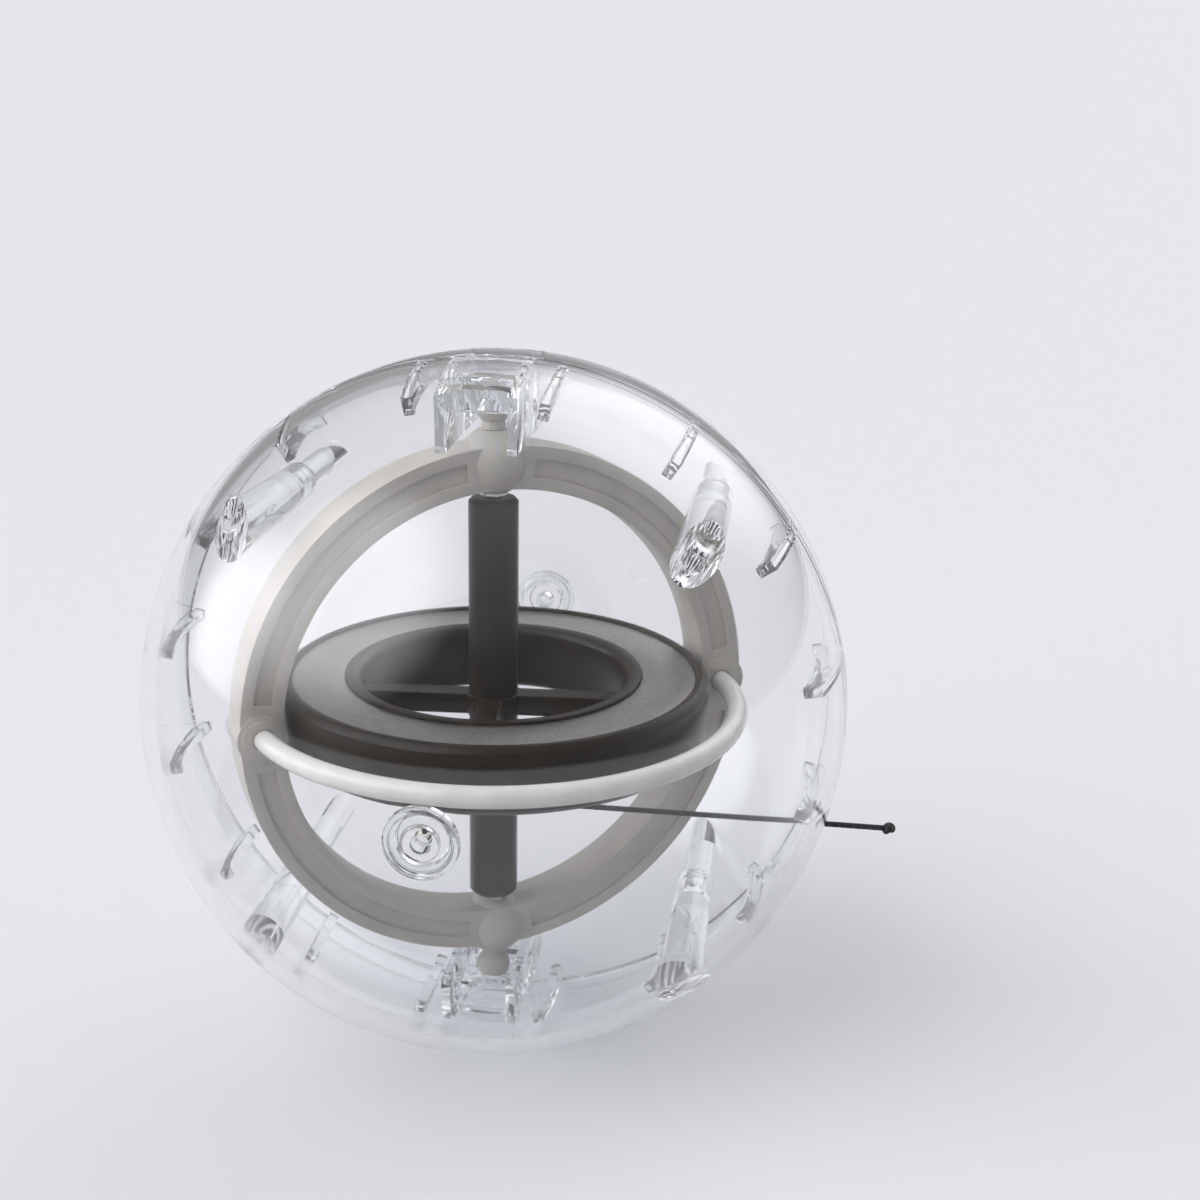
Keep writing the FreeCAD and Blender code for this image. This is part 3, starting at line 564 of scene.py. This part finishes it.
# %% Feet
foot_outline = [(0, 36.35), (1.2, 36.35), (1.2, 39.5), (1.7, 39.5), (1.8, 39.6)]
foot_outline += arc(FOOT_RADIUS, -50, 86, 20, (0, FOOT_HEIGHT)) + [(0, FOOT_HEIGHT + FOOT_RADIUS)]
upper_foot = smoothed(turned("upper_ball_foot", foot_outline, "Z", 64))
lower_foot = smoothed(copied(upper_foot, "lower_ball_foot", turn=(180, 0, 0)))

# %% [markdown]
# ## Guard rods
# A round rod circles the rotor at its middle height, so that a finger can't touch the spinning rim. A flat disc is
# the section. It is spun by half a turn, and the second rod is a copy on the other side.

# %% Guard rods
ROD_RADIUS = 1.5
nothing_selected()
bpy.ops.mesh.primitive_circle_add(
    vertices=32, radius=ROD_RADIUS * mm, fill_type="NGON",
    location=(RING_MIDDLE * mm, 0, 0), rotation=(math.radians(90), 0, 0),
)
rear_rod = bpy.context.object
rear_rod.name = "rear_guard_rod_bar"
bpy.ops.object.transform_apply(location=True, rotation=True, scale=True)
bpy.ops.object.mode_set(mode="EDIT")
bpy.ops.mesh.select_all(action="SELECT")
bpy.ops.mesh.spin(steps=96, angle=math.radians(180), center=(0, 0, 0), axis=(0, 0, 1))
bpy.ops.mesh.select_all(action="SELECT")
bpy.ops.mesh.remove_doubles(threshold=0.002 * mm)
bpy.ops.mesh.normals_make_consistent(inside=False)
bpy.ops.object.mode_set(mode="OBJECT")
front_rod = smoothed(copied(rear_rod, "front_guard_rod_bar", turn=(0, 0, 180 + FRAME_TURN)))
smoothed(moved(rear_rod, turn=(0, 0, FRAME_TURN)))

# %% [markdown]
# ## Rotor wheel
# The wheel is a dark moulding that carries two metal weights. Its section is an H: a thin rim outside, a rounded lip
# inside, and a web between them. It is turned about Z, and four flat spokes and a hub are joined to it. The edges are
# rounded before the bore is cut, because the hub's wall is too thin for a rounding on both sides.

# %% Rotor wheel
ROTOR_TURN = 4
wheel_outline = arc(1.3, 180, 270, 6, (20.1, -3.5)) + [(21.1, -4.8), (21.1, -0.8), (28.7, -0.8), (28.7, -4.8)]
wheel_outline += [(29.6, -4.8), (30.5, -3.9), (30.5, 3.9), (29.6, 4.8), (28.7, 4.8), (28.7, 0.8), (21.1, 0.8)]
wheel_outline += [(21.1, 4.8)] + arc(1.3, 90, 180, 6, (20.1, 3.5))
wheel = turned("rotor_wheel_moulding", wheel_outline, "Z", 160)
wheel_hub = turned("wheel hub", [(0, -1.5), (4.0, -1.5), (4.0, 1.5), (0, 1.5)], "Z", 48)
spoke = box("spoke", (0, -1.7, -1.5), (20, 1.7, 1.5))
for step in (1, 2, 3):
    combined(wheel_hub, copied(spoke, "spoke", turn=(0, 0, 90 * step)))
combined(wheel_hub, spoke)
combined(wheel, wheel_hub)
softened(wheel, 0.22, 2, 38)
combined(wheel, turned("bore", [(0, -9), (3.52, -9), (3.52, 9), (0, 9)], "Z", 48), "DIFFERENCE")
moved(wheel, turn=(0, 0, ROTOR_TURN))
smoothed(welded(wheel), 38)

# %% [markdown]
# ## Weight rings
# Two metal rings fill the grooves of the wheel, just below its edges. They are turned, with a fine broken edge.

# %% Weight rings
weight_outline = [(21.12, 0.8), (28.68, 0.8), (28.68, 4.4), (21.12, 4.4)]
upper_weight = smoothed(softened(turned("upper_weight", weight_outline, "Z", 160), 0.15))
lower_weight = smoothed(copied(upper_weight, "lower_weight", turn=(180, 0, 0)))

# %% [markdown]
# ## Shaft tube
# The tube round the axle is turned with a bore. The cord is threaded through a cross hole below the wheel. The ends
# and the rim of the hole are rounded, so that they don't cut the cord.

# %% Shaft tube
shaft_outline = [(1.27, -30), (3.0, -30), (3.5, -29.5), (3.5, 29.5), (3.0, 30), (1.27, 30)]
shaft = turned("shaft_sleeve", shaft_outline, "Z", 72)
cross_drill = turned("drill", [(0, -9), (CORD_HOLE, -9), (CORD_HOLE, 9), (0, 9)], "X", 32)
combined(shaft, moved(cross_drill, z=CORD_HEIGHT), "DIFFERENCE")
smoothed(softened(shaft, 0.15))

# %% [markdown]
# ## Finishes
# A finish is a small tree of nodes. Short helpers add nodes, wire them, blend two close colours and give a piece its
# finish. Every pattern reads Object coordinates, which are metres here, so a noise with a scale of 1000 has grains of
# about one millimetre.

# %% Node helpers
def srgb(red, green, blue):
    """A colour given as 0 to 255 screen values, as the shader wants it."""
    values = [part / 255 for part in (red, green, blue)]
    return (*[v / 12.92 if v < 0.04045 else ((v + 0.055) / 1.055) ** 2.4 for v in values], 1)


def node_tools(tree):
    """Empties a node tree. Gives a call that adds a node, and one that wires two."""
    tree.nodes.clear()

    def node(kind, settings=None, **inputs):
        item = tree.nodes.new("ShaderNode" + kind)
        for key, value in (settings or {}).items():
            setattr(item, key, value)
        for key, value in inputs.items():
            item.inputs[key.replace("_", " ")].default_value = value
        return item

    def wire(start, output, end, entry):
        tree.links.new(start.outputs[output], end.inputs[entry])

    return node, wire


def new_finish(name):
    """An empty material with its two calls."""
    material = bpy.data.materials.new(name)
    material.use_nodes = True
    return material, *node_tools(material.node_tree)


def shades(node, dark, light, low=0.35, high=0.65):
    """A colour ramp between two close colours."""
    ramp = node("ValToRGB")
    ramp.color_ramp.elements[0].position = low
    ramp.color_ramp.elements[0].color = dark
    ramp.color_ramp.elements[1].position = high
    ramp.color_ramp.elements[1].color = light
    return ramp


def dress(piece, *finishes):
    """Gives a piece its finishes."""
    piece.data.materials.clear()
    for finish in finishes:
        piece.data.materials.append(finish)


# %% [markdown]
# ## Moulded plastic
# An opaque moulding is never one flat colour. The melt leaves soft clouds a few millimetres wide, and the spark-worn
# mould leaves a fine grain that spreads the highlight. The clouds drive the colour and the gloss together, and the
# grain drives a bump. The same recipe gives the warm grey frame, the dark rotor and the glossy rods. The rods are the
# frame's grey plastic, painted paler as a painted highlight for the light that their round fronts catch.

# %% Moulded plastic
def moulded_plastic(name, dark, light, gloss, grain_size, grain_depth, coat=0.0, shine=0.5):
    """Opaque plastic; gloss is the lowest and highest roughness, grain is in millimetres."""
    material, node, wire = new_finish(name)
    place = node("TexCoord")
    clouds = node("TexNoise", Scale=170, Detail=5, Roughness=0.62, Distortion=0.4)
    grain = node("TexNoise", Scale=1000 / grain_size, Detail=3, Roughness=0.55)
    ramp = shades(node, dark, light)
    spread = node("MapRange", From_Min=0.3, From_Max=0.7, To_Min=gloss[0], To_Max=gloss[1])
    bump = node("Bump", Strength=0.2, Distance=grain_depth * mm)
    plastic = node(
        "BsdfPrincipled", IOR=1.52, Specular_IOR_Level=shine, Coat_Weight=coat, Coat_Roughness=0.12
    )
    output = node("OutputMaterial")
    wire(place, "Object", clouds, "Vector")
    wire(place, "Object", grain, "Vector")
    wire(clouds, "Fac", ramp, "Fac")
    wire(clouds, "Fac", spread, "Value")
    wire(grain, "Fac", bump, "Height")
    wire(ramp, "Color", plastic, "Base Color")
    wire(spread, "Result", plastic, "Roughness")
    wire(bump, "Normal", plastic, "Normal")
    wire(plastic, "BSDF", output, "Surface")
    return material


warm_grey = moulded_plastic("warm_grey_plastic", srgb(171, 165, 158), srgb(181, 175, 168), (0.32, 0.4), 0.3, 0.003)
# The rods are the frame's grey plastic; their paler colour is a painted highlight for the light their round fronts
# catch.
rods_painted_paler = moulded_plastic(
    "gloss_plastic_painted_paler", srgb(203, 199, 193), srgb(214, 211, 206), (0.16, 0.24), 0.5, 0.01, coat=0.3
)
dark_plastic = moulded_plastic(
    "dark_plastic", srgb(32, 26, 20), srgb(40, 33, 26), (0.28, 0.36), 0.3, 0.002, shine=0.26
)

# %% [markdown]
# ## Turned weight metal
# The weights are turned on a lathe, so their faces carry fine circles round the axle, and the highlight spreads
# across them into a wedge. The distance from the axle drives a one-dimensional noise for the circles, a speckle
# gives the cast grain, and an anisotropic shader with a radial tangent spreads the light.

# %% Turned weight metal
def turned_metal(name, dark, light, roughness):
    material, node, wire = new_finish(name)
    place = node("TexCoord")
    flat = node("VectorMath", {"operation": "MULTIPLY"})
    flat.inputs[1].default_value = (1, 1, 0)
    radius = node("VectorMath", {"operation": "LENGTH"})
    circles = node("TexNoise", {"noise_dimensions": "1D"}, Scale=3600, Detail=4, Roughness=0.7)
    speckle = node("TexNoise", Scale=2600, Detail=4, Roughness=0.75)
    clouds = node("TexNoise", Scale=140, Detail=3)
    blend = node("Mix", {"data_type": "FLOAT"}, Factor=0.75)
    ramp = shades(node, dark, light, 0.3, 0.7)
    spread = node("MapRange", From_Min=0.3, From_Max=0.7, To_Min=roughness[0], To_Max=roughness[1])
    bump = node("Bump", Strength=0.25, Distance=0.02 * mm)
    tangent = node("Tangent", {"direction_type": "RADIAL", "axis": "Z"})
    metal = node("BsdfPrincipled", Metallic=1, Anisotropic=0.4)
    output = node("OutputMaterial")
    wire(place, "Object", flat, 0)
    wire(flat, "Vector", radius, 0)
    wire(radius, "Value", circles, "W")
    wire(place, "Object", speckle, "Vector")
    wire(place, "Object", clouds, "Vector")
    wire(circles, "Fac", blend, "A")
    wire(speckle, "Fac", blend, "B")
    wire(blend, "Result", ramp, "Fac")
    wire(clouds, "Fac", spread, "Value")
    wire(blend, "Result", bump, "Height")
    wire(ramp, "Color", metal, "Base Color")
    wire(spread, "Result", metal, "Roughness")
    wire(bump, "Normal", metal, "Normal")
    wire(tangent, "Tangent", metal, "Tangent")
    wire(metal, "BSDF", output, "Surface")
    return material


weight_metal = turned_metal("turned_weight_metal", srgb(140, 136, 133), srgb(182, 179, 176), (0.4, 0.5))
axle_steel = turned_metal("ground_axle_steel", srgb(176, 177, 180), srgb(196, 197, 200), (0.18, 0.26))
bearing_metal = turned_metal("bearing_cup_metal", srgb(186, 184, 178), srgb(206, 204, 198), (0.22, 0.32))

# %% [markdown]
# ## Braided cord
# A braid is two sets of threads that wind round the cord in opposite directions. Along the cord and round it, each
# set is a wave of the sum or the difference of the two, and the larger wave lies on top. Here the cord runs along X,
# so the angle comes from Y and Z measured from its middle.

# %% Braided cord
def braided(name, dark, light):
    material, node, wire = new_finish(name)
    place = node("TexCoord")
    centred = node("Mapping", {"vector_type": "POINT"})
    centred.inputs["Location"].default_value = (0, 0, -CORD_HEIGHT * mm)
    split = node("SeparateXYZ")
    angle = node("Math", {"operation": "ARCTAN2"})
    along = node("Math", {"operation": "MULTIPLY"})
    along.inputs[1].default_value = math.radians(FULL_TURN) / (1.1 * mm)
    twice = node("Math", {"operation": "MULTIPLY"})
    twice.inputs[1].default_value = 2
    waves = []
    for operation in ("ADD", "SUBTRACT"):
        turn = node("Math", {"operation": operation})
        wave = node("Math", {"operation": "SINE"})
        wire(along, "Value", turn, 0)
        wire(twice, "Value", turn, 1)
        wire(turn, "Value", wave, 0)
        waves.append(wave)
    top = node("Math", {"operation": "MAXIMUM"})
    fibres = node("TexNoise", Scale=9000, Detail=3)
    ramp = shades(node, dark, light, 0.0, 1.0)
    bump = node("Bump", Strength=0.8, Distance=0.06 * mm)
    fabric = node("BsdfPrincipled", Roughness=0.78, Sheen_Weight=0.25, Sheen_Roughness=0.5)
    output = node("OutputMaterial")
    wire(place, "Object", centred, "Vector")
    wire(centred, "Vector", split, "Vector")
    wire(split, "X", along, 0)
    wire(split, "Z", angle, 0)
    wire(split, "Y", angle, 1)
    wire(angle, "Value", twice, 0)
    wire(waves[0], "Value", top, 0)
    wire(waves[1], "Value", top, 1)
    wire(place, "Object", fibres, "Vector")
    mixed = node("Mix", {"data_type": "FLOAT"}, Factor=0.3)
    wire(top, "Value", mixed, "A")
    wire(fibres, "Fac", mixed, "B")
    wire(mixed, "Result", ramp, "Fac")
    wire(mixed, "Result", bump, "Height")
    wire(ramp, "Color", fabric, "Base Color")
    wire(bump, "Normal", fabric, "Normal")
    wire(fabric, "BSDF", output, "Surface")
    return material


black_braid = braided("black_braid", srgb(14, 14, 16), srgb(44, 44, 48))

# %% [markdown]
# ## Clear plastic
# The ball is clear acrylic. A Principled shader with full transmission bends and reflects the light as acrylic does,
# and a soft low-frequency bump gives the slight waves of a thin moulding. Glass normally throws a dark shadow in a
# path tracer, so shadow rays meet a nearly clear Transparent shader instead, which lets the light reach the inside.

# %% Clear plastic
def clear_plastic(name, tint, shadow_tint):
    material, node, wire = new_finish(name)
    place = node("TexCoord")
    waves = node("TexNoise", Scale=45, Detail=2, Roughness=0.4)
    haze = node("TexNoise", Scale=220, Detail=5, Roughness=0.65)
    spread = node("MapRange", From_Min=0.35, From_Max=0.75, To_Min=0.0, To_Max=0.06)
    bump = node("Bump", Strength=0.12, Distance=0.25 * mm)
    acrylic = node("BsdfPrincipled", IOR=1.49, Transmission_Weight=1, Base_Color=tint)
    passing = node("BsdfTransparent", Color=shadow_tint)
    light = node("LightPath")
    either = node("MixShader")
    output = node("OutputMaterial")
    wire(place, "Object", waves, "Vector")
    wire(place, "Object", haze, "Vector")
    wire(haze, "Fac", spread, "Value")
    wire(waves, "Fac", bump, "Height")
    wire(spread, "Result", acrylic, "Roughness")
    wire(bump, "Normal", acrylic, "Normal")
    wire(light, "Is Shadow Ray", either, "Fac")
    wire(acrylic, "BSDF", either, 1)
    wire(passing, "BSDF", either, 2)
    wire(either, "Shader", output, "Surface")
    return material


clear_acrylic = clear_plastic("clear_acrylic", srgb(250, 251, 252), srgb(246, 247, 248))

# %% [markdown]
# ## Dress the pieces
# Every piece gets its finish here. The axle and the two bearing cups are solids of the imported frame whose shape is
# already right, so they stay and only get a better finish.

# %% Dress the pieces
for piece in (front_half, rear_half, front_plug, rear_plug):
    dress(piece, clear_acrylic)
for piece in (ring, upper_foot, lower_foot):
    dress(piece, warm_grey)
for piece in (front_rod, rear_rod):
    dress(piece, rods_painted_paler)
for piece in (wheel, shaft):
    dress(piece, dark_plastic)
for piece in (upper_weight, lower_weight):
    dress(piece, weight_metal)
for piece in (cord, knot):
    dress(piece, black_braid)
for name, finish in (("axle", axle_steel), ("upper_bearing", bearing_metal), ("lower_bearing", bearing_metal)):
    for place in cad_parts[name].material_slots:
        place.material = finish
print("finishes:", [material.name for material in bpy.data.materials if material.users])

# %% [markdown]
# ## What each piece stands for
# A piece replaces the solids that it stands for and rides on the body that it moves with. Each row names the piece,
# its solid, a slot of the record and its body.

# %% What each piece stands for
half_nodes = ["shell", "upper_cradle", "lower_cradle"]
half_nodes += [f"{height}_{side}_post" for height in ("upper", "lower") for side in ("left", "right")]
for half, plug, end, body in (
    (front_half, front_plug, "front", "front_case"),
    (rear_half, rear_plug, "rear", "rear_case"),
):
    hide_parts(*[f"{end}_{name}" for name in half_nodes])
    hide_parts(f"{end}_pole_plug")
    for piece in (half, plug):
        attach(piece, body)
for piece, node, slot, body in (
    (ring, "frame_ring", "frame_plastic", "gyro_frame"),
    (upper_foot, "upper_foot", "frame_plastic", "gyro_frame"),
    (lower_foot, "lower_foot", "frame_plastic", "gyro_frame"),
    (front_rod, "front_guard_rod", "guard_plastic", "gyro_frame"),
    (rear_rod, "rear_guard_rod", "guard_plastic", "gyro_frame"),
    (wheel, "rotor_wheel", "dark_plastic", "rotor"),
    (shaft, "shaft_tube", "dark_plastic", "rotor"),
    (upper_weight, "upper_weight_ring", "weight_metal", "rotor"),
    (lower_weight, "lower_weight_ring", "weight_metal", "rotor"),
    (cord, "launch_cord", "cord_fabric", "pull_cord"),
    (knot, "cord_knot", "cord_fabric", "pull_cord"),
):
    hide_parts(node)
    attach(piece, body)

# %% [markdown]
# ## Floor
# A plain pale floor catches the shadows. The ball rests on it with its lowest point, and a hair lies between them.

# %% Floor
FLOOR_SIZE = 8
nothing_selected()
bpy.ops.mesh.primitive_plane_add(size=FLOOR_SIZE, location=(0, 0, -50.05 * mm))
floor = bpy.context.object
floor.name = "floor"
material, node, wire = new_finish("pale_floor")
paper = node("BsdfPrincipled", Base_Color=srgb(228, 228, 230), Roughness=0.9, Specular_IOR_Level=0.1)
wire(paper, "BSDF", node("OutputMaterial"), "Surface")
dress(floor, material)

# %% [markdown]
# ## Light
# A clear ball shows mostly what surrounds it, and a lamp with a hard edge would show as a hard white patch. So the
# light comes from a pale world with wide softboxes whose edges fade: the main one high at the left, a narrower one
# low at the left that lights the side of the frame ring, one behind, and a pale ceiling. A dark flag hangs round the
# camera, as in a studio, and has a negative strength: without it the front wall would mirror the pale room and veil
# the dark rotor. The low horizon draws the edges of the clear shapes, and the world lights the floor evenly. Light
# passes many clear surfaces here, so more bounces than usual are followed, or the posts and the plugs turn black.
# Behind the floor's far edge the camera itself sees a plain backdrop as pale as the floor.

# %% Light
SOFTBOXES = (
    ((-0.62, -0.42, 0.66), 14, 38, 2.7),
    ((-0.97, 0.02, 0.24), 6, 25, 2.6),
    ((0.35, 0.75, 0.56), 10, 34, 1.2),
    ((0, 0, 1), 0, 95, 0.35),
    ((0.17, -0.92, 0.35), 25, 62, -0.24),
)
LOWEST_LIGHT = 0.29
BACKDROP_LIGHT = 0.84
world = bpy.data.worlds.new("pale studio")
world.use_nodes = True
node, wire = node_tools(world.node_tree)
direction = node("TexCoord")
level = node("Value")
level.outputs[0].default_value = LOWEST_LIGHT
for middle, inner, outer, strength in SOFTBOXES:
    facing = node("VectorMath", {"operation": "DOT_PRODUCT"})
    facing.inputs[1].default_value = Vector(middle).normalized()
    fade = node("MapRange", {"interpolation_type": "SMOOTHSTEP"}, To_Max=strength)
    fade.inputs["From Min"].default_value = math.cos(math.radians(outer))
    fade.inputs["From Max"].default_value = math.cos(math.radians(inner))
    total = node("Math", {"operation": "ADD"})
    wire(direction, "Generated", facing, 0)
    wire(facing, "Value", fade, "Value")
    wire(level, "Value", total, 0)
    wire(fade, "Result", total, 1)
    level = total
rays = node("LightPath")
seen = node("Mix", {"data_type": "FLOAT"}, B=BACKDROP_LIGHT)
sky = node("Background", Color=srgb(250, 250, 252))
wire(rays, "Is Camera Ray", seen, "Factor")
wire(level, "Value", seen, "A")
wire(seen, "Result", sky, "Strength")
wire(sky, "Background", node("OutputWorld"), "Surface")
BOUNCES = 28
scene = bpy.context.scene
scene.world = world
scene.view_settings.view_transform = "Standard"
scene.cycles.max_bounces = BOUNCES
scene.cycles.glossy_bounces = BOUNCES
scene.cycles.transmission_bounces = BOUNCES
scene.cycles.transparent_max_bounces = BOUNCES
